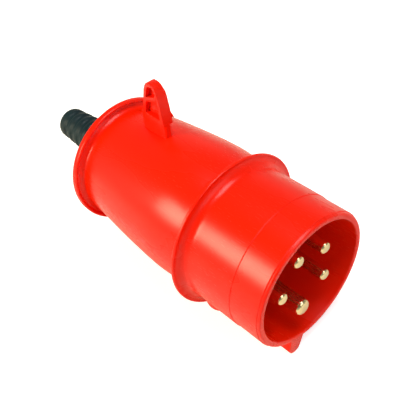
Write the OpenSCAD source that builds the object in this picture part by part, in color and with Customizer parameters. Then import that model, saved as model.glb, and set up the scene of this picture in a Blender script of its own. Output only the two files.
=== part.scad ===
// Industrial pin and sleeve plug: three phases, neutral and earth, 16 A, 400 V.
// The axis of the plug lies along X, its open mouth faces +X and the origin is
// the centre of the mouth plane. The retaining lug on the handle points to +Z.

/* [Sleeve] */
// outside diameter of the sleeve that enters the socket
sleeve_d = 57; // [50:0.5:64]
// inside diameter of the sleeve
bore_d = 51.4; // [46:0.2:52]
// length of the sleeve from its mouth to the collar
sleeve_l = 35; // [32:0.5:42]
// distance from the mouth to the fine step round the sleeve
step_at = 14.3; // [8:0.1:24]
// how much wider the sleeve is behind the fine step, on the radius
step_h = 0.25; // [0.1:0.05:0.6]
// outside diameter of the collar between the sleeve and the handle
collar_d = 66.4; // [62:0.2:74]
// radius of the hollow in the collar's front face
collar_fillet = 4.1; // [2.5:0.1:4.3]
// thickness of the collar's rim
collar_rim = 1.3; // [0.8:0.1:3]

/* [Key] */
// distance from the axis to the tip of the key
key_tip = 35.7; // [33:0.1:38]
// width of the key where it leaves the sleeve
key_w = 11; // [8:0.5:14]
// radius of the key's rounded nose
key_nose = 3.6; // [2:0.1:3.8]
// angle of the key and earth pin round from straight below the lug
key_turn = 15; // [0:1:20]
// height of the round boss beside the collar
boss_h = 1.4; // [0.8:0.1:2.4]
// angle of that boss round from straight below the lug
boss_turn = 53; // [40:1:60]

/* [Pins] */
// radius of the circle the pins stand on
pin_circle = 13; // [12:0.1:13.6]
// diameter of each phase pin and the neutral pin
phase_d = 5; // [4.5:0.1:6]
// diameter of the earth pin
earth_d = 7; // [6:0.1:7.4]
// how far the phase pins stop short of the mouth
phase_short = 2.2; // [1:0.1:8]
// how far the earth pin stops short of the mouth
earth_short = 0.4; // [0.3:0.1:6]
// diameter of each terminal barrel
terminal_d = 8.6; // [8.4:0.1:9.4]
// length of each terminal barrel
terminal_l = 16; // [13:0.5:20]
// diameter of the hole for a wire in a terminal
wire_d = 3.8; // [2.5:0.1:4.4]

/* [Handle] */
// length of the handle from the collar seam to its back face
handle_l = 69; // [64:0.5:80]
// largest diameter of the handle
handle_d = 59; // [57:0.5:63]
// diameter of the handle just in front of its rear flange
handle_tail_d = 51; // [48:0.2:56]
// wall thickness of the handle
handle_wall = 2.6; // [2:0.1:3.2]
// outside diameter of the rear flange
flange_d = 58.8; // [56:0.2:66]
// thickness of the rear flange's rim
flange_rim = 3; // [2:0.1:4]

/* [Lug] */
// distance from the axis to the top of the retaining lug
lug_top = 51.2; // [46:0.2:54]
// distance from the mouth to the front of the lug's foot
lug_at = 73.6; // [70:0.2:78]
// length of the lug's foot
lug_l = 17.6; // [16:0.2:22]
// greatest width of the lug's foot
foot_w = 5.6; // [4:0.2:9]
// thickness of the foot above the handle's axis
foot_top = 34.6; // [32:0.2:36]
// thickness of the wall left behind the two pockets in the lug's side
web_w = 2.4; // [1.6:0.2:4]

/* [Rest] */
// how far the plug rolls over to lie on its key and collar, in degrees
rest_turn = 7.8; // [0:0.1:16]

/* [Boot] */
// length of the cable boot behind the handle
boot_l = 45.4; // [36:0.1:52]
// diameter of the boot where it leaves the handle
boot_d = 21; // [19:0.2:26]
// diameter of the boot near its tip
boot_tip_d = 14.8; // [14:0.2:19]
// diameter of the hole for the cord
cord_d = 9.6; // [7:0.2:11]
// number of grooves round the boot
boot_grooves = 7; // [4:1:8]

/* [Hidden] */
$fn = 96;
eps = 0.02;
sleeve_r = sleeve_d / 2;
bore_r = bore_d / 2;
root_r = sleeve_r + step_h;
collar_r = collar_d / 2;
// all of these are distances behind the mouth
ridge_s = sleeve_l + collar_fillet;
seam_s = ridge_s + collar_rim;
carrier_face_s = sleeve_l + 0.5;
ledge_s = carrier_face_s + 2;
spigot_s = seam_s + 6.5;
carrier_back_s = seam_s + 9.6;
boss_front_s = carrier_back_s + 0.2;
boss_back_s = boss_front_s + 22;
terminal_s = carrier_back_s + terminal_l;
back_s = seam_s + handle_l;
tail_s = back_s - 4.9;
floor_s = back_s - 5.6;
retainer_s = floor_s - 2.5;
// radii of the hidden fits
tail_in_r = handle_tail_d / 2 - handle_wall;
ledge_r = bore_r - 2.4;
carrier_r = ledge_r - 0.2;
spigot_r = bore_r - 0.1;
screw_circle = pin_circle + 5.6;
screw_boss_r = 3.4;
screw_angles = [90, 270 - 36, 270 + 36];
post_y = tail_in_r - 7.4;
post_r = 3.4;
neck_r = cord_d / 2 + 3.7;
boot_foot_r = post_y - post_r - 0.9;
earth_angle = 270 - key_turn;

// a point list along a circular arc
function arc(c, r, a0, a1, n) =
    [for (i = [0:n]) let (a = a0 + (a1 - a0) * i / n) [c[0] + r * cos(a), c[1] + r * sin(a)]];

// radius of the barrel of the handle at a distance s behind the mouth
swell_s = seam_s + 17.6;
flare_s = seam_s + 2.7;
swell_r = handle_d / 2;
front_r = swell_r - 1.1;
tail_r = handle_tail_d / 2;
function barrel(s) = s < swell_s
    ? swell_r - (swell_r - front_r) * pow((swell_s - s) / (swell_s - flare_s), 2)
    : swell_r - (swell_r - tail_r) * pow((s - swell_s) / (tail_s - swell_s), 1.4);

// turns a shape drawn along Z so that it lies along X, with its Y pointing to +Z
module lay() rotate([90, 0, 90]) children();

// a turned solid from points given as [radius, distance behind the mouth]
module turned(points) lay() rotate_extrude() polygon([for (p = points) [p[0], -p[1]]]);

// a round bar along the plug's axis between two distances behind the mouth
module bar(r, s0, s1) lay() translate([0, 0, -s1]) cylinder(r = r, h = s1 - s0);

// the same, at a radius and an angle counted from +Y towards +Z
module bar_at(r, s0, s1, ring, angle)
    translate([0, ring * cos(angle), ring * sin(angle)]) bar(r, s0, s1);

// a round bar along the radius, between two distances from the axis
module spoke(r, s, angle, ring0, ring1)
    rotate([angle - 90, 0, 0]) translate([-s, 0, ring0]) cylinder(r = r, h = ring1 - ring0);

// ---------------------------------------------------------------- front shell

lip = 0.8;
sleeve_outline = concat(
    // the rounded lip, its fine land and the front half of the sleeve
    arc([sleeve_r - 0.35 - lip, lip], lip, -90, 0, 4),
    [[sleeve_r - 0.35, 1.2], [sleeve_r, 1.45], [sleeve_r, step_at - 0.3]],
    [[root_r, step_at]],
    // the hollow front face of the collar, its rim and the seam
    [[root_r, sleeve_l]],
    arc([root_r + collar_fillet, sleeve_l], collar_fillet, 180, 96, 7),
    [[collar_r - 0.45, ridge_s - 0.05], [collar_r, ridge_s + 0.4]],
    [[collar_r, seam_s - 0.4], [collar_r - 0.5, seam_s]],
    // the spigot that enters the handle
    [[spigot_r, seam_s], [spigot_r, spigot_s - 0.5], [spigot_r - 0.5, spigot_s]],
    [[ledge_r, spigot_s], [ledge_r, ledge_s], [bore_r, ledge_s]],
    arc([bore_r + 0.6, 0.6], 0.6, 180, 270, 4)
);

key_outline = concat(
    [[-key_w / 2, sleeve_r - 1.2]],
    arc([0, key_tip - key_nose], key_nose, 180, 0, 18),
    [[key_w / 2, sleeve_r - 1.2]]
);

module key_bar()
    rotate([earth_angle - 90, 0, 0])
        translate([-ridge_s + 1.6, 0, 0])
            lay() linear_extrude(ridge_s - 1.6) polygon(key_outline);

// a domed boss beside the collar
boss_r = 6;
module side_boss()
    rotate([270 - boss_turn - 90, 0, 0])
        translate([-sleeve_l + 6, 0, root_r + boss_h - boss_r]) sphere(r = boss_r);

module front_shell() color("red") {
    turned(sleeve_outline);
    difference() {
        union() {
            key_bar();
            side_boss();
        }
        bar(sleeve_r - 0.6, -1, ridge_s + 3);
    }
}

// ------------------------------------------------------------ contact carrier

screw_r = 1.5;
screw_head_r = 2.75;
screw_head_h = 2.2;
// how much wider a pin is inside the carrier, on the radius
shank_step = 0.4;

module pin_holes() {
    bar_at(earth_d / 2 + shank_step, carrier_face_s - 1, carrier_back_s + 1, pin_circle, earth_angle);
    for (k = [1:4])
        bar_at(phase_d / 2 + shank_step, carrier_face_s - 1, carrier_back_s + 1, pin_circle, earth_angle + 72 * k);
}

module contact_carrier() color("dimgray") difference() {
    turned([
        [0, carrier_face_s], [bore_r - 0.7, carrier_face_s], [bore_r - 0.2, carrier_face_s + 0.5],
        [bore_r - 0.2, ledge_s], [carrier_r, ledge_s], [carrier_r, carrier_back_s],
        [0, carrier_back_s]
    ]);
    pin_holes();
    for (a = screw_angles) {
        bar_at(screw_r + 0.2, carrier_face_s - 1, carrier_back_s + 1, screw_circle, a - key_turn);
        bar_at(screw_head_r + 0.3, carrier_face_s - 1, carrier_face_s + 3, screw_circle, a - key_turn);
    }
}

// ----------------------------------------------------------------------- pins

terminal_screw_r = 1.6;
terminal_screw_s = terminal_s - 6;

// one contact: a round pin with a rounded tip and a drilled terminal barrel
module contact(d, short, angle) color("gold") difference() {
    tip = 0.24 * d;
    translate([0, pin_circle * cos(angle), pin_circle * sin(angle)]) {
        turned(concat(
            [[0, short]],
            arc([d / 2 - tip, short + tip], tip, -90, 0, 6),
            [[d / 2, carrier_face_s], [d / 2 + shank_step, carrier_face_s]],
            [[d / 2 + shank_step, carrier_back_s], [terminal_d / 2, carrier_back_s]],
            [[terminal_d / 2, terminal_s - 0.6], [terminal_d / 2 - 0.6, terminal_s], [0, terminal_s]]
        ));
    }
    bar_at(wire_d / 2, terminal_s - 11, terminal_s + 1, pin_circle, angle);
    spoke(terminal_screw_r, terminal_screw_s, angle, pin_circle, pin_circle + terminal_d);
}

module pin_l1() contact(phase_d, phase_short, earth_angle + 144);
module pin_l2() contact(phase_d, phase_short, earth_angle + 216);
module pin_l3() contact(phase_d, phase_short, earth_angle + 288);
module pin_neutral() contact(phase_d, phase_short, earth_angle + 72);
module pin_earth() contact(earth_d, earth_short, earth_angle);

// a slotted grub screw that pinches the wire in its terminal
module terminal_screw(angle) color("silver") difference() {
    spoke(terminal_screw_r - eps, terminal_screw_s, angle,
        pin_circle + wire_d / 2 - 1, pin_circle + terminal_d / 2 + 0.8);
    rotate([angle - 90, 0, 0])
        translate([-terminal_screw_s - 3, -0.3, pin_circle + terminal_d / 2]) cube([6, 0.6, 2]);
}

module terminal_screw_l1() terminal_screw(earth_angle + 144);
module terminal_screw_l2() terminal_screw(earth_angle + 216);
module terminal_screw_l3() terminal_screw(earth_angle + 288);
module terminal_screw_neutral() terminal_screw(earth_angle + 72);
module terminal_screw_earth() terminal_screw(earth_angle);

// a pan head screw with a cross slot that draws the carrier into the handle
module pan_screw(r, head_r, head_h, s_head, s_tip, ring, angle) color("silver") difference() {
    union() {
        bar_at(head_r, s_head, s_head + head_h, ring, angle);
        bar_at(r, s_head, s_tip, ring, angle);
    }
    translate([-s_head, ring * cos(angle), ring * sin(angle)])
        for (t = [0, 90]) rotate([t, 0, 0])
            translate([-1, -0.4, -head_r * 0.7]) cube([2, 0.8, head_r * 1.4]);
}

module carrier_screw(angle)
    pan_screw(screw_r, screw_head_r, screw_head_h, carrier_face_s + 3 - screw_head_h,
        boss_back_s - 6, screw_circle, angle - key_turn);

module carrier_screw_top() carrier_screw(screw_angles[0]);
module carrier_screw_left() carrier_screw(screw_angles[1]);
module carrier_screw_right() carrier_screw(screw_angles[2]);

// --------------------------------------------------------------------- handle

barrel_steps = 24;
handle_outline = concat(
    // the flare behind the collar seam
    [[collar_r - 0.6, seam_s]],
    [for (i = [1:5]) let (t = i / 6)
        [collar_r - 0.6 - (collar_r - 0.6 - barrel(flare_s)) * (1 - pow(1 - t, 2)),
            seam_s + (flare_s - seam_s) * t]],
    // the barrel
    [for (i = [0:barrel_steps]) let (s = flare_s + (tail_s - flare_s) * i / barrel_steps)
        [barrel(s), s]],
    // the hollow front face of the flange and its rim
    arc([flange_d / 2 - 0.7, tail_s], flange_d / 2 - 0.7 - tail_r, 170, 120, 4),
    [[flange_d / 2 - 0.6, back_s - flange_rim], [flange_d / 2, back_s - flange_rim + 0.7]],
    [[flange_d / 2, back_s - 0.9], [flange_d / 2 - 0.9, back_s], [0, back_s]],
    // the inside, back to front
    [[0, floor_s], [barrel(floor_s) - handle_wall, floor_s]],
    [for (i = [0:12]) let (s = floor_s - 3 + (spigot_s + 1.5 - floor_s + 3) * i / 12)
        [barrel(s) - handle_wall, s]],
    [[spigot_r + 0.05, spigot_s + 0.6], [spigot_r + 0.05, seam_s]]
);

module handle_inside()
    turned([
        [0, boss_front_s - 1], [spigot_r + 1, boss_front_s - 1], [swell_r - handle_wall / 2, swell_s],
        [barrel(boss_back_s + 8) - handle_wall / 2, boss_back_s + 8], [0, boss_back_s + 8]
    ]);

// three bosses for the carrier screws, each with a rib to the wall
rib_w = 2.4;
module screw_bosses() intersection() {
    for (a = screw_angles) {
        bar_at(screw_boss_r, boss_front_s, boss_back_s, screw_circle, a - key_turn);
        rotate([a - key_turn - 90, 0, 0]) translate([-boss_back_s, -rib_w / 2, screw_circle])
            cube([boss_back_s - boss_front_s - screw_boss_r, rib_w, bore_r - screw_circle + 4]);
    }
    handle_inside();
}

// the retaining lug: its outline and pockets as [distance behind its front, height]
// and half of its plan as [distance behind its front, share of the foot's width]
fin_side = [
    [1.5, foot_top - 6], [1.5, foot_top + 2], [1.9, lug_top - 7.5], [2.8, lug_top - 3.6],
    [4.4, lug_top - 1.4], [6, lug_top - 0.4], [7.6, lug_top], [9.2, lug_top - 0.4],
    [10.8, lug_top - 1.6], [12, lug_top - 3.8], [13.1, lug_top - 7.6],
    [14.4, foot_top + 3], [15, foot_top - 6]
];
pocket_side = [
    [3.1, foot_top + 1.6], [13.6, foot_top + 1], [12.4, lug_top - 8.4], [3.6, lug_top - 6.6]
];
small_pocket_side = [
    [4, lug_top - 5.6], [11.4, lug_top - 7], [10.4, lug_top - 3.6], [8.4, lug_top - 2], [4.9, lug_top - 1.9]
];
half_plan = [
    [0, 0], [0.1, 0.12], [0.6, 0.27], [1.6, 0.42], [3.2, 0.49], [4.8, 0.5], [7, 0.485],
    [10.4, 0.42], [14.4, 0.31], [16.8, 0.18], [17.4, 0.1], [lug_l, 0]
];
plan = concat(
    [for (p = half_plan) [-lug_at - p[0], p[1] * foot_w]],
    [for (i = [len(half_plan) - 2:-1:1]) [-lug_at - half_plan[i][0], -half_plan[i][1] * foot_w]]
);

module slab(side, y0, y1)
    translate([-lug_at, y1, 0]) rotate([90, 0, 0])
        linear_extrude(y1 - y0) polygon([for (p = side) [-p[0], p[1]]]);

module lug() {
    translate([0, 0, tail_r - 4]) linear_extrude(foot_top - tail_r + 4) polygon(plan);
    difference() {
        intersection() {
            translate([0, 0, tail_r - 4]) linear_extrude(lug_top) polygon(plan);
            slab(fin_side, -foot_w / 2 + 0.25, foot_w / 2 - 0.25);
        }
        slab(pocket_side, -foot_w, foot_w / 2 - web_w - 0.25);
        slab(small_pocket_side, -foot_w, foot_w / 2 - web_w - 0.25);
    }
}

module handle() color("red") difference() {
    union() {
        turned(handle_outline);
        screw_bosses();
        for (side = [-1, 1]) translate([0, side * post_y, 0]) bar(post_r, retainer_s, floor_s + 1);
        difference() {
            lug();
            bar(tail_r - 1.2, seam_s, back_s);
        }
    }
    bar(neck_r + 0.05, floor_s - 1, back_s + 1);
    for (a = screw_angles)
        bar_at(screw_r + eps, boss_front_s - 1, boss_back_s - 5, screw_circle, a - key_turn);
    for (side = [-1, 1]) translate([0, side * post_y, 0]) bar(retainer_screw_r + eps, retainer_s - 1, back_s - 1.2);
}

// ------------------------------------------------------- boot and its retainer

retainer_h = 2.4;
retainer_w = 2 * neck_r + 3;
retainer_screw_r = 1.25;

module boot_retainer() color("dimgray") difference() {
    intersection() {
        bar(post_y + post_r + 1.4, retainer_s - retainer_h, retainer_s);
        translate([-retainer_s - 1, -tail_r, -retainer_w / 2])
            cube([retainer_h + 2, 2 * tail_r, retainer_w]);
    }
    bar(cord_d / 2 + 2.6, retainer_s - retainer_h - 1, retainer_s + 1);
    for (side = [-1, 1]) translate([0, side * post_y, 0])
        bar(retainer_screw_r + 0.35, retainer_s - retainer_h - 1, retainer_s + 1);
}

module retainer_screw(side)
    translate([0, side * post_y, 0])
        pan_screw(retainer_screw_r, 2.4, 1.9, retainer_s - retainer_h - 1.9, back_s - 2, 0, 0);
module retainer_screw_left() retainer_screw(-1);
module retainer_screw_right() retainer_screw(1);

groove_pitch = (boot_l - 6.4) / boot_grooves;
groove_depth = 0.6;
function boot_r(t) = boot_d / 2 + (boot_tip_d / 2 - boot_d / 2) * t / (boot_l - 3);
boot_outline = concat(
    [[cord_d / 2 + 0.7, back_s + 2.4], [cord_d / 2 + 0.7, retainer_s], [boot_foot_r, retainer_s]],
    [[boot_foot_r, floor_s], [neck_r, floor_s]],
    [[neck_r, back_s], [boot_d / 2 + 0.6, back_s], [boot_d / 2 + 0.6, back_s + 1.4]],
    [for (k = [0:boot_grooves - 1], p = [[0.16, 0], [0.28, 1], [0.64, 1], [0.76, 0]])
        let (t = 2 + (k + p[0]) * groove_pitch) [boot_r(t) - groove_depth * p[1], back_s + t]],
    arc([boot_tip_d / 2 - 3, back_s + boot_l - 3], 3, 0, 80, 6),
    [[cord_d / 2, back_s + boot_l], [cord_d / 2, back_s + 3.2]]
);

module cable_boot() color("darkslategray") turned(boot_outline);

// ------------------------------------------------------------------- assembly

// the plug as it lies at rest, rolled about its axis
module lying() rotate([-rest_turn, 0, 0]) children();

lying() front_shell();
lying() contact_carrier();
lying() pin_l1();
lying() pin_l2();
lying() pin_l3();
lying() pin_neutral();
lying() pin_earth();
lying() terminal_screw_l1();
lying() terminal_screw_l2();
lying() terminal_screw_l3();
lying() terminal_screw_neutral();
lying() terminal_screw_earth();
lying() carrier_screw_top();
lying() carrier_screw_left();
lying() carrier_screw_right();
lying() handle();
lying() boot_retainer();
lying() retainer_screw_left();
lying() retainer_screw_right();
lying() cable_boot();
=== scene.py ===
import bpy, math
from mathutils import Matrix, Vector


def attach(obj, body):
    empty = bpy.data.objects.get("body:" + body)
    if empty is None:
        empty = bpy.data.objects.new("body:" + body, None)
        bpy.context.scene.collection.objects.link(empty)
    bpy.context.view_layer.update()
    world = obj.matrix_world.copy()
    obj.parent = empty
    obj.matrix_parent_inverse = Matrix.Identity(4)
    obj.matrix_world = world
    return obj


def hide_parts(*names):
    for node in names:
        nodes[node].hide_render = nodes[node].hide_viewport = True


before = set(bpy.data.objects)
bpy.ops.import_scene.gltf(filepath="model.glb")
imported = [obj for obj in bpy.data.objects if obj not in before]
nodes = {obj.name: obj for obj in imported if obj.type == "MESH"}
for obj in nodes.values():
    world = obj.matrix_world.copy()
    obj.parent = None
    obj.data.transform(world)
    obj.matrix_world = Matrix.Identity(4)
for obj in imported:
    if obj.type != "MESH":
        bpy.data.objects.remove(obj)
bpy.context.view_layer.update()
scene = bpy.context.scene
mm = 0.001
print("loaded the frame:", len(nodes), "nodes")

# the camera looks into the mouth from the front, above and to one side
camera = {
    "place": (0.09404, -0.09979, 0.19631),
    "aim": (-0.07412, 0.01396, -0.02457),
    "roll": -13.73,          # degrees, turned about the line of sight
    "lens": 55.6,
}


def makeCamera(c):
    data = bpy.data.cameras.new("plugCamera")
    data.lens = c["lens"]
    data.clip_start = 0.01
    eye = bpy.data.objects.new("plugCamera", data)
    scene.collection.objects.link(eye)
    look = (Vector(c["aim"]) - Vector(c["place"])).to_track_quat("-Z", "Y")
    turn = Matrix.Rotation(math.radians(c["roll"]), 4, "Z")
    eye.matrix_world = Matrix.Translation(c["place"]) @ look.to_matrix().to_4x4() @ turn
    scene.camera = eye


makeCamera(camera)

# a white table under large soft lamps
studio = {
    "floorHeight": -0.0334,
    "floorSize": 3.0,
    "floorColor": (0.82, 0.79, 0.70),
    "floorLift": 0.70,       # light added to the floor for the eye only
    "liftColor": (0.93, 0.95, 1.0),
    "worldColor": (1.0, 0.96, 0.84),
    "wallStrength": 0.50,
    "ceilingStrength": 0.10,
    "ceilingFrom": 0.75,     # how high up the ceiling begins, 1 is straight above
    "topPower": 5.1,         # a broad lamp overhead, for the even red
    "topSize": 0.45,
    "topColor": (1, 1, 1),
    "topPlace": (0.02, 0.18, 0.80),
    "sidePower": 6.2,        # a softbox behind on the left, for the long streaks
    "sideSize": 0.32,
    "sideColor": (1.0, 0.90, 0.64),
    "sidePlace": (-0.37, -0.63, 0.41),
    "frontPower": 1.2,       # a weak fill that reaches into the mouth
    "frontSize": 0.5,
    "frontColor": (1, 1, 1),
    "frontPlace": (0.62, 0.08, 0.40),
    "lampAim": (-0.06, 0, 0),    # the middle of the plug
}


def makeFloor(s):
    bpy.ops.mesh.primitive_plane_add(size=s["floorSize"], location=(0, 0, 0))
    floor = bpy.context.object
    floor.name = "studioFloor"
    floor.data.transform(Matrix.Translation((0, 0, s["floorHeight"])))
    mat = bpy.data.materials.new("paleFloor")
    mat.use_nodes = True
    tree = mat.node_tree
    tree.nodes.clear()
    out = tree.nodes.new("ShaderNodeOutputMaterial")
    paint = tree.nodes.new("ShaderNodeBsdfDiffuse")
    paint.inputs["Color"].default_value = (*s["floorColor"], 1)
    glow = tree.nodes.new("ShaderNodeEmission")
    glow.inputs["Color"].default_value = (*s["liftColor"], 1)
    path = tree.nodes.new("ShaderNodeLightPath")
    lift = tree.nodes.new("ShaderNodeMath")
    lift.operation = "MULTIPLY"
    lift.inputs[1].default_value = s["floorLift"]
    add = tree.nodes.new("ShaderNodeAddShader")
    link = tree.links.new
    link(path.outputs["Is Camera Ray"], lift.inputs[0])
    link(lift.outputs[0], glow.inputs["Strength"])
    link(paint.outputs[0], add.inputs[0])
    link(glow.outputs[0], add.inputs[1])
    link(add.outputs[0], out.inputs["Surface"])
    floor.data.materials.append(mat)


def makeWorld(s):
    # pale walls all round under a darker ceiling; the camera itself sees plain white
    world = bpy.data.worlds.new("studioWorld")
    scene.world = world
    world.use_nodes = True
    tree = world.node_tree
    tree.nodes.clear()
    link = tree.links.new
    out = tree.nodes.new("ShaderNodeOutputWorld")
    ray = tree.nodes.new("ShaderNodeTexCoord")
    parts = tree.nodes.new("ShaderNodeSeparateXYZ")
    height = tree.nodes.new("ShaderNodeMapRange")
    height.interpolation_type = "SMOOTHSTEP"
    for label, value in (("From Min", 0.0), ("From Max", s["ceilingFrom"]),
                         ("To Min", s["wallStrength"]), ("To Max", s["ceilingStrength"])):
        height.inputs[label].default_value = value
    sky = tree.nodes.new("ShaderNodeBackground")
    sky.inputs["Color"].default_value = (*s["worldColor"], 1)
    white = tree.nodes.new("ShaderNodeBackground")
    white.inputs["Color"].default_value = (1, 1, 1, 1)
    white.inputs["Strength"].default_value = 1.0
    path = tree.nodes.new("ShaderNodeLightPath")
    choose = tree.nodes.new("ShaderNodeMixShader")
    link(ray.outputs["Generated"], parts.inputs[0])
    link(parts.outputs["Z"], height.inputs["Value"])
    link(height.outputs["Result"], sky.inputs["Strength"])
    link(path.outputs["Is Camera Ray"], choose.inputs[0])
    link(sky.outputs[0], choose.inputs[1])
    link(white.outputs[0], choose.inputs[2])
    link(choose.outputs[0], out.inputs["Surface"])


def makeLamp(side, s):
    data = bpy.data.lights.new(side + "Lamp", "AREA")
    data.energy = s[side + "Power"]
    data.size = s[side + "Size"]
    data.color = s[side + "Color"]
    lamp = bpy.data.objects.new(side + "Lamp", data)
    scene.collection.objects.link(lamp)
    lamp.location = s[side + "Place"]
    towards = Vector(s["lampAim"]) - Vector(s[side + "Place"])
    lamp.rotation_euler = towards.to_track_quat("-Z", "Y").to_euler()


makeFloor(studio)
makeWorld(studio)
for side in ("top", "side", "front"):
    makeLamp(side, studio)
scene.view_settings.view_transform = "Standard"
print("camera and studio made")


# effects shared by the materials, each a node group with its own named values

def newGroup(name, inputs, outputs):
    group = bpy.data.node_groups.new(name, "ShaderNodeTree")
    for label, kind, value in inputs:
        socket = group.interface.new_socket(label, in_out="INPUT", socket_type=kind)
        socket.default_value = value
    for label, kind in outputs:
        group.interface.new_socket(label, in_out="OUTPUT", socket_type=kind)
    start = group.nodes.new("NodeGroupInput")
    end = group.nodes.new("NodeGroupOutput")
    return group, start.outputs, end.inputs, group.nodes.new, group.links.new


def feed(link, socket, value):
    # a number stays on the socket, anything else is linked to it
    if isinstance(value, (int, float)):
        socket.default_value = value
    else:
        link(value, socket)


def addMath(new, link, operation, first, second):
    node = new("ShaderNodeMath")
    node.operation = operation
    feed(link, node.inputs[0], first)
    feed(link, node.inputs[1], second)
    return node.outputs[0]


def addNoise(new, link, place, scale, detail, rough):
    node = new("ShaderNodeTexNoise")
    node.inputs["Detail"].default_value = detail
    node.inputs["Roughness"].default_value = rough
    link(place, node.inputs["Vector"])
    feed(link, node.inputs["Scale"], scale)
    return node.outputs["Fac"]


def addRange(new, link, value, low, high, toLow, toHigh):
    node = new("ShaderNodeMapRange")
    link(value, node.inputs["Value"])
    for label, number in (("From Min", low), ("From Max", high), ("To Min", toLow), ("To Max", toHigh)):
        feed(link, node.inputs[label], number)
    return node.outputs["Result"]


def makeMouldedSkin():
    # moulded plastic: slow flow marks, a fine orange peel and faint handling marks
    group, given, result, new, link = newGroup(
        "mouldedSkin",
        [("Color", "NodeSocketColor", (0.8, 0.0, 0.0, 1)),
         ("Flow Color", "NodeSocketColor", (0.7, 0.0, 0.0, 1)),
         ("Flow Scale", "NodeSocketFloat", 40.0), ("Flow Amount", "NodeSocketFloat", 0.3),
         ("Peel Scale", "NodeSocketFloat", 900.0), ("Gloss Low", "NodeSocketFloat", 0.24),
         ("Gloss High", "NodeSocketFloat", 0.34), ("Scuffs", "NodeSocketFloat", 0.1)],
        [("Color", "NodeSocketColor"), ("Roughness", "NodeSocketFloat"), ("Height", "NodeSocketFloat")])
    place = new("ShaderNodeTexCoord").outputs["Object"]
    stretch = new("ShaderNodeMapping")
    stretch.inputs["Scale"].default_value = (0.25, 1.0, 1.0)    # plastic flows along the plug
    link(place, stretch.inputs["Vector"])
    flow = addNoise(new, link, stretch.outputs[0], given["Flow Scale"], 3.0, 0.55)
    flow = addRange(new, link, flow, 0.35, 0.65, 0.0, 1.0)
    part = addMath(new, link, "MULTIPLY", flow, given["Flow Amount"])
    mix = new("ShaderNodeMix")
    mix.data_type = "RGBA"
    link(part, mix.inputs["Factor"])
    link(given["Color"], mix.inputs["A"])
    link(given["Flow Color"], mix.inputs["B"])
    link(mix.outputs["Result"], result["Color"])
    peel = addNoise(new, link, place, given["Peel Scale"], 2.0, 0.5)
    scratch = new("ShaderNodeMapping")
    scratch.inputs["Rotation"].default_value = (0.3, 0.5, 0.2)
    scratch.inputs["Scale"].default_value = (300.0, 2600.0, 2600.0)
    link(place, scratch.inputs["Vector"])
    lines = addNoise(new, link, scratch.outputs[0], 1.0, 2.0, 0.6)
    lines = addRange(new, link, lines, 0.62, 0.74, 0.0, 1.0)
    marks = addMath(new, link, "MULTIPLY", lines, given["Scuffs"])
    gloss = addRange(new, link, flow, 0.0, 1.0, given["Gloss Low"], given["Gloss High"])
    link(addMath(new, link, "ADD", gloss, marks), result["Roughness"])
    depth = addMath(new, link, "MULTIPLY", marks, -0.6)
    link(addMath(new, link, "ADD", peel, depth), result["Height"])
    return group


def makeTurnedMetal():
    # metal from a lathe: fine rings across the axis, a little tarnish between them
    group, given, result, new, link = newGroup(
        "turnedMetal",
        [("Color", "NodeSocketColor", (0.8, 0.7, 0.4, 1)),
         ("Tarnish", "NodeSocketColor", (0.5, 0.4, 0.2, 1)),
         ("Tarnish Amount", "NodeSocketFloat", 0.3), ("Ring Scale", "NodeSocketFloat", 3000.0),
         ("Gloss Low", "NodeSocketFloat", 0.12), ("Gloss High", "NodeSocketFloat", 0.28)],
        [("Color", "NodeSocketColor"), ("Roughness", "NodeSocketFloat"), ("Height", "NodeSocketFloat")])
    place = new("ShaderNodeTexCoord").outputs["Object"]
    squeeze = new("ShaderNodeMapping")
    squeeze.inputs["Scale"].default_value = (1.0, 0.05, 0.05)
    link(place, squeeze.inputs["Vector"])
    rings = addNoise(new, link, squeeze.outputs[0], given["Ring Scale"], 3.0, 0.6)
    cloud = addNoise(new, link, place, 260.0, 4.0, 0.6)
    cloud = addRange(new, link, cloud, 0.4, 0.7, 0.0, 1.0)
    mix = new("ShaderNodeMix")
    mix.data_type = "RGBA"
    link(addMath(new, link, "MULTIPLY", cloud, given["Tarnish Amount"]), mix.inputs["Factor"])
    link(given["Color"], mix.inputs["A"])
    link(given["Tarnish"], mix.inputs["B"])
    link(mix.outputs["Result"], result["Color"])
    gloss = addRange(new, link, rings, 0.3, 0.7, given["Gloss Low"], given["Gloss High"])
    link(gloss, result["Roughness"])
    link(rings, result["Height"])
    return group


mouldedSkin = makeMouldedSkin()
turnedMetal = makeTurnedMetal()


def makeFinish(name, group, values, metal=0.0, level=0.5, bump=0.1, bumpDepth=0.00002):
    mat = bpy.data.materials.new(name)
    mat.use_nodes = True
    tree = mat.node_tree
    shader = tree.nodes["Principled BSDF"]
    shader.inputs["Metallic"].default_value = metal
    shader.inputs["Specular IOR Level"].default_value = level
    effect = tree.nodes.new("ShaderNodeGroup")
    effect.node_tree = group
    for label, value in values.items():
        effect.inputs[label].default_value = (*value, 1) if isinstance(value, tuple) else value
    tree.links.new(effect.outputs["Color"], shader.inputs["Base Color"])
    tree.links.new(effect.outputs["Roughness"], shader.inputs["Roughness"])
    relief = tree.nodes.new("ShaderNodeBump")
    relief.inputs["Strength"].default_value = bump
    relief.inputs["Distance"].default_value = bumpDepth
    tree.links.new(effect.outputs["Height"], relief.inputs["Height"])
    tree.links.new(relief.outputs["Normal"], shader.inputs["Normal"])
    return mat


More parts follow.
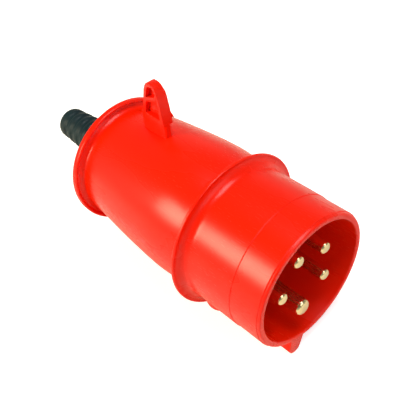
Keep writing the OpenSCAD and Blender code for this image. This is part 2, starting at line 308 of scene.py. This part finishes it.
redPlastic = {
    "Color": (0.90, 0.012, 0.0003),
    "Flow Color": (0.86, 0.009, 0.0003),
    "Flow Scale": 42.0,
    "Flow Amount": 0.5,
    "Peel Scale": 1100.0,
    "Gloss Low": 0.25,
    "Gloss High": 0.31,
    "Scuffs": 0.05,
}
darkPlastic = {
    "Color": (0.022, 0.022, 0.024),
    "Flow Color": (0.034, 0.034, 0.036),
    "Flow Scale": 90.0,
    "Flow Amount": 0.5,
    "Peel Scale": 1600.0,
    "Gloss Low": 0.42,
    "Gloss High": 0.55,
    "Scuffs": 0.1,
}
bootRubber = {
    "Color": (0.004, 0.015, 0.019),
    "Flow Color": (0.010, 0.025, 0.030),
    "Flow Scale": 140.0,
    "Flow Amount": 0.8,
    "Peel Scale": 2600.0,
    "Gloss Low": 0.38,
    "Gloss High": 0.50,
    "Scuffs": 0.12,
}
pinBrass = {
    "Color": (0.88, 0.74, 0.42),
    "Tarnish": (0.62, 0.45, 0.20),
    "Tarnish Amount": 0.35,
    "Ring Scale": 4200.0,
    "Gloss Low": 0.14,
    "Gloss High": 0.26,
}
zincSteel = {
    "Color": (0.64, 0.65, 0.66),
    "Tarnish": (0.48, 0.47, 0.44),
    "Tarnish Amount": 0.4,
    "Ring Scale": 5200.0,
    "Gloss Low": 0.24,
    "Gloss High": 0.40,
}
finishes = {
    "red": makeFinish("redPlastic", mouldedSkin, redPlastic, level=0.25, bump=0.10),
    "dark": makeFinish("darkPlastic", mouldedSkin, darkPlastic, bump=0.25),
    "rubber": makeFinish("bootRubber", mouldedSkin, bootRubber, level=0.2, bump=0.5,
                         bumpDepth=0.00004),
    "brass": makeFinish("pinBrass", turnedMetal, pinBrass, metal=1.0, bump=0.10,
                        bumpDepth=0.00001),
    "steel": makeFinish("zincSteel", turnedMetal, zincSteel, metal=1.0, bump=0.12,
                        bumpDepth=0.00001),
}


def finishFor(name):
    if name in ("front_shell", "handle"):
        return finishes["red"]
    if name.startswith("pin_"):
        return finishes["brass"]
    if "screw" in name:
        return finishes["steel"]
    if name == "cable_boot":
        return finishes["rubber"]
    return finishes["dark"]


for name, piece in nodes.items():
    piece.data.materials.clear()
    piece.data.materials.append(finishFor(name))
print("materials made")

# bench tools: a shape starts as a ring, a point or a plain block and is drawn out from there

restTurn = math.radians(-7.8)     # the plug lies rolled over onto its key and collar
mergeDistance = 0.000004          # metres, closes the seam of a drawn form


def takeUp(piece):
    rest()
    piece.select_set(True)
    bpy.context.view_layer.objects.active = piece


def applyTurn(piece, angle):
    takeUp(piece)
    piece.rotation_euler = (angle, 0, 0)
    bpy.ops.object.transform_apply(location=True, rotation=True, scale=True)


def rest():
    if bpy.context.object and bpy.context.object.mode != "OBJECT":
        bpy.ops.object.mode_set(mode="OBJECT")
    bpy.ops.object.select_all(action="DESELECT")


def pick(piece, kind, wanted):
    # picks the corners, edges or faces that are wanted, ready for an edit
    takeUp(piece)
    bpy.ops.object.mode_set(mode="EDIT")
    bpy.ops.mesh.select_mode(type=kind)
    bpy.ops.mesh.select_all(action="DESELECT")
    bpy.ops.object.mode_set(mode="OBJECT")
    mesh = piece.data
    for item in {"VERT": mesh.vertices, "EDGE": mesh.edges, "FACE": mesh.polygons}[kind]:
        item.select = wanted(item)
    bpy.ops.object.mode_set(mode="EDIT")


def rounding(x, r, radius, start, end, steps):
    # stations round an edge, each a distance behind the mouth and a radius, in mm
    turns = [math.radians(start + (end - start) * i / steps) for i in range(steps + 1)]
    return [(x + radius * math.sin(t), r + radius * math.cos(t)) for t in turns]


def turnForm(name, stations, sides, sag=None):
    # draws a ring along the axis through the stations, as a lathe would
    rest()
    x, r = stations[0]
    bpy.ops.mesh.primitive_circle_add(vertices=sides, radius=r * mm, location=(-x * mm, 0, 0),
                                      rotation=(0, math.radians(90), 0))
    piece = bpy.context.object
    piece.name = name
    bpy.ops.object.transform_apply(location=True, rotation=True, scale=True)
    bpy.ops.object.mode_set(mode="EDIT")
    bpy.ops.mesh.select_mode(type="EDGE")
    bpy.ops.mesh.select_all(action="SELECT")
    drop = sag(x) if sag else 0
    if drop:
        bpy.ops.transform.translate(value=(0, 0, -drop * mm))
    for nextX, nextR in stations[1:]:
        nextDrop = sag(nextX) if sag else 0
        bpy.ops.mesh.extrude_region_move(
            TRANSFORM_OT_translate={"value": ((x - nextX) * mm, 0, (drop - nextDrop) * mm)})
        bpy.ops.transform.resize(value=(1, nextR / r, nextR / r),
                                 center_override=(-nextX * mm, 0, -nextDrop * mm))
        x, r, drop = nextX, nextR, nextDrop
    bpy.ops.mesh.select_all(action="SELECT")
    bpy.ops.mesh.remove_doubles(threshold=mergeDistance)
    bpy.ops.mesh.select_all(action="SELECT")
    bpy.ops.mesh.normals_make_consistent(inside=False)
    rest()
    return piece


def drawPlate(name, outline, y0, y1):
    # draws an outline of (distance behind the mouth, height) point by point and thickens it
    rest()
    bpy.ops.mesh.primitive_plane_add(size=0.001, location=(0, 0, 0))
    piece = bpy.context.object
    piece.name = name
    bpy.ops.object.mode_set(mode="EDIT")
    bpy.ops.mesh.select_mode(type="VERT")
    bpy.ops.mesh.select_all(action="SELECT")
    bpy.ops.mesh.merge(type="CENTER")
    x, z = outline[0]
    bpy.ops.transform.translate(value=(-x * mm, y0 * mm, z * mm))
    for nextX, nextZ in outline[1:] + outline[:1]:
        bpy.ops.mesh.extrude_region_move(
            TRANSFORM_OT_translate={"value": ((x - nextX) * mm, 0, (nextZ - z) * mm)})
        x, z = nextX, nextZ
    bpy.ops.mesh.select_all(action="SELECT")
    bpy.ops.mesh.remove_doubles(threshold=mergeDistance)
    bpy.ops.mesh.select_all(action="SELECT")
    bpy.ops.mesh.edge_face_add()
    bpy.ops.mesh.extrude_region_move(TRANSFORM_OT_translate={"value": (0, (y1 - y0) * mm, 0)})
    bpy.ops.mesh.select_all(action="SELECT")
    bpy.ops.mesh.normals_make_consistent(inside=False)
    rest()
    return piece


def shapeWith(piece, kind, **settings):
    takeUp(piece)
    modifier = piece.modifiers.new(kind.lower(), kind)
    for label, value in settings.items():
        setattr(modifier, label, value)
    bpy.ops.object.modifier_apply(modifier=modifier.name)


def combine(piece, other, operation):
    shapeWith(piece, "BOOLEAN", operation=operation, object=other, solver="EXACT")
    bpy.data.objects.remove(other, do_unlink=True)


def softenEdges(piece, width, angle):
    shapeWith(piece, "BEVEL", width=width * mm, segments=3, limit_method="ANGLE",
              angle_limit=math.radians(angle))


def turnPiece(piece, degrees):
    # about the plug's own axis, counted from +Y towards +Z
    applyTurn(piece, math.radians(degrees))


def finishPiece(piece, finish, replaced, smooth=35):
    applyTurn(piece, restTurn)
    bpy.ops.object.shade_smooth_by_angle(angle=math.radians(smooth))
    piece.data.materials.clear()
    piece.data.materials.append(finishes[finish])
    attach(piece, "root")
    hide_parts(*replaced)
    rest()
    print("made", piece.name, len(piece.data.polygons), "faces")


# the front shell: sleeve, collar, key and the small dome beside the collar
sleeve = {
    "radius": 28.5,
    "bore": 25.7,
    "lip": 0.8,
    "lipSet": 0.35,          # how far the lip stands in from the sleeve
    "boreLip": 0.6,
    "stepAt": 14.3,
    "stepHeight": 0.28,
    "length": 35.0,
    "collarRadius": 33.2,
    "collarHollow": 4.1,
    "collarRim": 1.3,
    "collarEdge": 0.5,
    "spigotLength": 6.5,     # the part that reaches into the handle
    "spigotGap": 0.1,
    "ledgeWidth": 2.4,       # the ledge that the contact carrier sits on
    "ledgeAt": 2.5,
    "sides": 144,
}
keyBar = {
    "width": 7.4,
    "top": 35.4,
    "nose": 2.75,
    "front": 0.05,
    "sink": 1.5,             # how far its foot reaches into the sleeve's wall
    "noseFlat": 0.15,        # what the rounding of the nose leaves at its middle
    "edge": 0.3,
    "turn": 165.0,           # from the top round to the key
}
sideDome = {
    "radius": 6.0,
    "height": 1.3,
    "fromCollar": 6,         # from the foot of the collar's hollow to its middle
    "cutAbove": 1,           # how far above the bore it is cut off
    "turn": 127.0,
}


def makeKey(k, s):
    rest()
    back = s["length"] + s["collarHollow"]
    low, high = s["radius"] - k["sink"], k["top"]
    middle = (-(k["front"] + back) / 2 * mm, 0, (low + high) / 2 * mm)
    bpy.ops.mesh.primitive_cube_add(size=1, location=middle)
    key = bpy.context.object
    key.name = "plugKey"
    key.scale = ((back - k["front"]) * mm, k["width"] * mm, (high - low) * mm)
    bpy.ops.object.transform_apply(location=True, rotation=True, scale=True)
    pick(key, "FACE", lambda face: face.normal.z > 0.9)
    bpy.ops.transform.resize(value=(1, 2 * k["nose"] / k["width"], 1),
                             center_override=(0, 0, high * mm))
    rest()

    def alongTop(edge):
        a, b = (key.data.vertices[v].co for v in edge.vertices)
        return min(a.z, b.z) > (high - 0.1) * mm and abs(a.x - b.x) > 0.01

    pick(key, "EDGE", alongTop)
    bpy.ops.mesh.bevel(offset=(k["nose"] - k["noseFlat"]) * mm, segments=8, affect="EDGES")
    rest()
    softenEdges(key, k["edge"], 60)
    turnPiece(key, k["turn"])
    return key


def makeDome(d, s):
    rest()
    height = s["radius"] + s["stepHeight"] + d["height"] - d["radius"]
    place = ((d["fromCollar"] - s["length"]) * mm, 0, height * mm)
    bpy.ops.mesh.primitive_uv_sphere_add(segments=48, ring_count=24, radius=d["radius"] * mm,
                                         location=place)
    dome = bpy.context.object
    bpy.ops.object.transform_apply(location=True, rotation=True, scale=True)
    takeUp(dome)
    bpy.ops.object.mode_set(mode="EDIT")
    bpy.ops.mesh.select_all(action="SELECT")
    bpy.ops.mesh.bisect(plane_co=(0, 0, (s["bore"] + d["cutAbove"]) * mm), plane_no=(0, 0, 1),
                        clear_inner=True, use_fill=True)
    rest()
    turnPiece(dome, d["turn"])
    return dome


def makeSleeve(s):
    outer, root = s["radius"], s["radius"] + s["stepHeight"]
    ridge = s["length"] + s["collarHollow"]
    seam = ridge + s["collarRim"]
    rim = s["collarRadius"]
    lip, edge, step, hollow = s["lip"], s["collarEdge"], s["stepAt"], s["collarHollow"]
    bore, ledge = s["bore"], s["bore"] - s["ledgeWidth"]
    spigot, spigotEnd = bore - s["spigotGap"], seam + s["spigotLength"]
    # round the set-in lip, up to the sleeve and along to the fine step
    stations = rounding(lip, outer - s["lipSet"] - lip, lip, -90, 0, 6)
    stations += [(1.2, outer - s["lipSet"]), (1.28, outer - 0.3), (1.45, outer), (1.6, outer)]
    stations += [(step - 0.6, outer), (step - 0.3, outer), (step, root), (step + 0.3, root),
                 (s["length"] - 1, root)]
    # up the hollow of the collar and over its rim
    stations += [(s["length"] + hollow * math.sin(t), root + hollow * (1 - math.cos(t)))
                 for t in [math.radians(84 * i / 12) for i in range(13)]]
    stations += rounding(ridge + 0.42, rim - edge, edge, -80, 0, 5)
    stations += rounding(seam - edge, rim - edge, edge, 0, 90, 5)
    # back inside, along the spigot, the ledge and the bore
    stations += [(seam, spigot), (seam + 6, spigot), (spigotEnd, bore - 0.6), (spigotEnd, ledge),
                 (s["length"] + s["ledgeAt"], ledge), (s["length"] + s["ledgeAt"], bore)]
    stations += rounding(s["boreLip"], bore + s["boreLip"], -s["boreLip"], 0, 90, 4)
    stations += stations[:1]
    shell = turnForm("frontShell", stations, s["sides"])
    combine(shell, makeKey(keyBar, s), "UNION")
    combine(shell, makeDome(sideDome, s), "UNION")
    finishPiece(shell, "red", ["front_shell"])


makeSleeve(sleeve)

# the handle: flared at the collar, swelling to the hand, with a hollow flange at its back
handle = {
    "seam": 40.4,
    "flare": 2.7,
    "flareRadius": 32.6,
    "frontRadius": 28.4,
    "swellAt": 17.6,
    "swellRadius": 29.5,
    "tailAt": 64.1,
    "tailRadius": 25.5,
    "back": 69.0,
    "flangeRadius": 29.4,
    "flangeRim": 3.0,
    "flangeEdge": 0.7,
    "backEdge": 0.8,
    "wall": 2.6,
    "floor": 5.6,            # thickness of the wall that holds the boot
    "hole": 8.55,
    "holeEdge": 0.4,
    "mouthRadius": 25.65,    # where the shell's spigot fits in
    "mouthDepth": 7.1,
    "sides": 144,
}
# the retaining lug on top, with two pockets cut into its -Y side
lug = {
    "at": 73.6,
    "top": 51.2,
    "width": 4.8,
    "topTaper": 0.86,
    "taperFrom": 2.5,        # how far under the top the taper begins
    "web": 2.3,
    "footTop": 34.4,
    "footOverlap": 0.6,
    "footBottom": 26.6,
    "footWidth": 3.9,
    "edge": 0.45,
}


def barrelRadius(s, h):
    swell, flare, tail = h["seam"] + h["swellAt"], h["seam"] + h["flare"], h["seam"] + h["tailAt"]
    widest = h["swellRadius"]
    if s < swell:
        return widest - (widest - h["frontRadius"]) * ((swell - s) / (swell - flare)) ** 2
    return widest - (widest - h["tailRadius"]) * ((s - swell) / (tail - swell)) ** 1.4


def makeLug(g):
    at, top, foot, width = g["at"], g["top"], g["footTop"], g["width"]
    # outlines as (distance behind the lug's front, height)
    side = [(0.9, foot), (1.3, foot + 3.6), (1.9, top - 9.2), (2.6, top - 5.4), (3.2, top - 3.4),
            (4.1, top - 1.6), (5.3, top - 0.6), (6.8, top - 0.1), (8.6, top), (9.5, top - 0.4),
            (10.3, top - 1.4), (11.1, top - 3.4), (12.1, top - 6.9), (13.7, foot + 3.6),
            (15.2, foot - 2)]
    lowPocket = [(2.8, foot + 2.5), (3.6, top - 6.3), (10.9, top - 9.0), (12.3, foot + 3.0),
                 (11.7, foot + 2.0)]
    highPocket = [(4.5, top - 4.8), (4.1, top - 3.6), (4.9, top - 2.1), (6.2, top - 1.3),
                  (8.2, top - 1.4), (9.1, top - 2.5), (10.6, top - 7.0)]
    # half plans as (distance behind the lug's front, share of the width)
    finPlan = [(0.6, 0.46), (1.0, 0.5), (7.0, 0.49), (10.4, 0.44), (13.0, 0.36), (15.2, 0.25),
               (16.8, 0.14), (17.4, 0.0)]
    footPlan = [(0.8, 0.1), (0.95, 0.24), (1.5, 0.38), (2.4, 0.47), (3.6, 0.5), (7.0, 0.49),
                (10.4, 0.43), (13.4, 0.34), (15.6, 0.22), (16.8, 0.1), (17.0, 0.0)]
    planBottom, planTop, spare = 20, 60, 1      # the cutting plate is taller and wider than the fin

    def sidePlate(name, outline, y0, y1):
        return drawPlate(name, [(at + a, z) for a, z in outline], y0, y1)

    def planPlate(name, plan, wide, z0, z1):
        ring = [(at + a, w * wide) for a, w in plan] + [(at + a, -w * wide) for a, w in plan[-2::-1]]
        plate = drawPlate(name, ring, z0, z1)
        turnPiece(plate, 90)
        return plate

    fin = sidePlate("hangingLug", side, -width / 2 - spare, width / 2 + spare)
    combine(fin, planPlate("lugPlan", finPlan, width, planBottom, planTop), "INTERSECT")
    for outline in (lowPocket, highPocket):
        combine(fin, sidePlate("lugPocket", outline, -width, width / 2 - g["web"]), "DIFFERENCE")
    combine(fin, planPlate("lugFoot", footPlan, g["footWidth"], g["footBottom"],
                           foot + g["footOverlap"]), "UNION")
    # the taper bends flat faces, so it comes after every cut and join
    pick(fin, "VERT", lambda corner: corner.co.z > (top - g["taperFrom"]) * mm)
    bpy.ops.transform.resize(value=(1, g["topTaper"], 1), center_override=(0, 0, 0))
    rest()
    softenEdges(fin, g["edge"], 38)
    return fin


def makeHandle(h):
    seam, back = h["seam"], h["seam"] + h["back"]
    start, tail, rim = seam + h["flare"], seam + h["tailAt"], h["flangeRadius"]
    drop = h["flareRadius"] - h["frontRadius"]
    edge, backEdge, hole = h["flangeEdge"], h["backEdge"], h["hole"]
    # the flare at the seam, then the barrel
    stations = [(seam, h["flareRadius"] - 0.3), (seam + 0.12, h["flareRadius"])]
    stations += [(seam + h["flare"] * t, h["flareRadius"] - drop * (1 - (1 - t) ** 2))
                 for t in [i / 10 for i in range(1, 10)]]
    stations += [(s, barrelRadius(s, h)) for s in [start + (tail - start) * i / 40 for i in range(41)]]
    # the hollow of the flange, its rim and the back
    hollow = rim - edge - h["tailRadius"]
    stations += [(tail + hollow * math.sin(t), rim - edge - hollow * math.cos(t))
                 for t in [math.radians(a) for a in range(10, 71, 6)]]
    stations += rounding(back - h["flangeRim"] + edge, rim - edge, edge, -100, 0, 7)
    stations += rounding(back - backEdge, rim - backEdge, backEdge, 0, 90, 6)
    # through the floor and forward along the inside of the wall
    floor = back - h["floor"]
    stations += [(back, hole + h["holeEdge"]), (back - h["holeEdge"], hole), (floor, hole),
                 (floor, barrelRadius(floor, h) - h["wall"])]
    front = seam + 8
    stations += [(s, barrelRadius(s, h) - h["wall"]) for s in
                 [back - 8.6 + (front - back + 8.6) * i / 12 for i in range(13)]]
    stations += [(seam + h["mouthDepth"], h["mouthRadius"]), (seam, h["mouthRadius"]), stations[0]]
    body = turnForm("plugHandle", stations, h["sides"])
    combine(body, makeLug(lug), "UNION")
    finishPiece(body, "red", ["handle"])


makeHandle(handle)

# the rubber boot: a soft ribbed cone that hangs a little under its own weight
boot = {
    "start": 109.4,
    "length": 45.4,
    "rootRadius": 10.5,
    "tipRadius": 7.4,
    "tipRound": 3.0,
    "ribs": 7,
    "ribDepth": 0.6,
    "ribsFrom": 2,           # plain length before the first groove
    "ribsShort": 6.4,        # plain length left over in all
    "neck": 8.5,
    "neckLength": 5.6,
    "hole": 4.8,
    "footHole": 5.5,
    "footRadius": 11.2,
    "footBack": 8.1,         # how far the foot reaches into the handle
    "sag": 0.8,
    "sides": 72,
}


def makeBoot(b):
    start, end = b["start"], b["start"] + b["length"]

    def sag(s):
        return b["sag"] * max(0.0, (s - start) / b["length"]) ** 1.3

    def cone(t):
        return b["rootRadius"] + (b["tipRadius"] - b["rootRadius"]) * t / (b["length"] - b["tipRound"])

    root, hole, tipRound = b["rootRadius"], b["hole"], b["tipRound"]
    neckStart, footStart = start - b["neckLength"], start - b["footBack"]
    # one groove as (share of the pitch, share of the depth)
    groove = ((0.12, 0.0), (0.2, 0.3), (0.27, 0.85), (0.36, 1.0), (0.56, 1.0), (0.65, 0.85),
              (0.72, 0.3), (0.8, 0.0))
    pitch = (b["length"] - b["ribsShort"]) / b["ribs"]
    stations = [(neckStart, b["neck"]), (start - 0.1, b["neck"]), (start + 0.02, root + 0.4),
                (start + 1.1, root + 0.5), (start + 1.5, root + 0.1)]
    for k in range(b["ribs"]):
        for p, depth in groove:
            t = b["ribsFrom"] + (k + p) * pitch
            stations.append((start + t, cone(t) - b["ribDepth"] * depth))
    stations += rounding(end - tipRound, b["tipRadius"] - tipRound, tipRound, 0, 84, 9)
    stations += [(end, hole + 0.3), (end - 0.4, hole), (start + 3.2, hole),
                 (start + 2.4, b["footHole"]), (footStart, b["footHole"]),
                 (footStart, b["footRadius"]), (neckStart, b["footRadius"]), stations[0]]
    piece = turnForm("cordBoot", stations, b["sides"], sag=sag)
    finishPiece(piece, "rubber", ["cable_boot"], 50)


makeBoot(boot)
print("pieces made")
